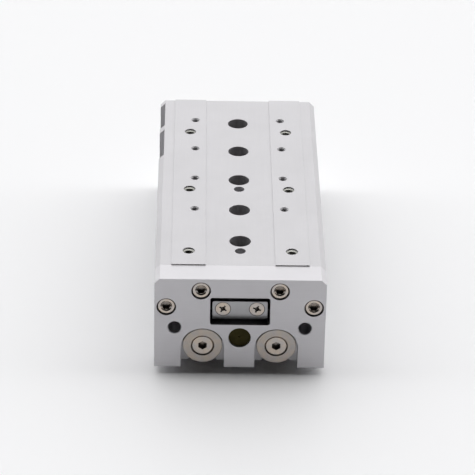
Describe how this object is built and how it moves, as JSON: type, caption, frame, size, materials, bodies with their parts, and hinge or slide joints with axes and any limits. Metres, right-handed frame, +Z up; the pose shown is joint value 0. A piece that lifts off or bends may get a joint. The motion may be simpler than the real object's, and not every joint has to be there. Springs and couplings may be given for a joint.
{
  "type": "pneumatic slide table",
  "caption": "Twin-rod pneumatic slide table: an aluminium cylinder body with a recirculating ball guide on top, whose rods push a drilled table through its end plate.",
  "frame": {"origin": "on the base plane, under the middle of the part's overall box with the table pulled in", "axes": "+X to the right seen from the end plate, +Y from the end plate to the rear, +Z up from the base"},
  "size_m": [0.08, 0.181, 0.0525],
  "materials": {
    "table_aluminium": "clear anodised, fine bead-blasted and ground top",
    "plate_aluminium": "clear anodised, milled",
    "body_anodised": "clear anodised, milled",
    "cap_aluminium": "turned",
    "guide_steel": "hardened and ground",
    "cover_steel": "stamped stainless steel sheet",
    "screw_steel": "stainless steel with a warm tone",
    "bush_steel": "turned stainless steel with fine rings",
    "insert_steel": "bright drawn stainless wire",
    "spring_steel": "phosphated spring steel",
    "rod_chrome": "hard chromed and ground",
    "ball_steel": "polished bearing steel",
    "piston_brass": "turned",
    "bronze": "sintered, oil-filled",
    "resin": "moulded, fine texture",
    "nitrile": "moulded",
    "urethane": "cast, dark olive brown",
    "magnet": "bonded ferrite"
  },
  "bodies": {
    "body": {"cylinder_body": "body_anodised", "guide_rail": "guide_steel", "rail_bolts": "screw_steel", "rail_end_cover": "cover_steel", "rail_cover_screws": "screw_steel", "left_rod_cover": "cap_aluminium", "right_rod_cover": "cap_aluminium", "left_rod_bearing": "bronze", "right_rod_bearing": "bronze", "left_rod_seal": "nitrile", "right_rod_seal": "nitrile", "rod_cover_o_rings": "nitrile", "rod_cover_rings": "spring_steel", "left_front_stop": "urethane", "right_front_stop": "urethane", "left_rear_stop": "urethane", "right_rear_stop": "urethane", "left_head_cap": "cap_aluminium", "right_head_cap": "cap_aluminium", "head_cap_o_rings": "nitrile", "head_cap_rings": "spring_steel", "port_plugs": "screw_steel"},
    "carriage": {"table": "table_aluminium", "end_plate": "plate_aluminium", "plate_screws": "screw_steel", "retract_bumper": "urethane", "thread_inserts": "insert_steel", "guide_block": "guide_steel", "block_screws": "screw_steel", "front_ball_cap": "resin", "rear_ball_cap": "resin", "front_scraper": "cover_steel", "rear_scraper": "cover_steel", "ball_cap_screws": "screw_steel", "guide_balls": "ball_steel", "left_piston_rod": "rod_chrome", "right_piston_rod": "rod_chrome", "left_piston": "piston_brass", "right_piston": "piston_brass", "left_piston_seal": "nitrile", "right_piston_seal": "nitrile", "left_wear_ring": "resin", "right_wear_ring": "resin", "left_magnet": "magnet", "right_magnet": "magnet", "left_piston_nut": "spring_steel", "right_piston_nut": "spring_steel", "left_floating_bush": "bush_steel", "right_floating_bush": "bush_steel", "rod_end_bolts": "screw_steel"}
  },
  "joints": [
    {"name": "table_slide", "type": "slide", "parent": "body", "child": "carriage", "axis": [0, -1, 0], "range_m": [0, 0.05]}
  ]
}
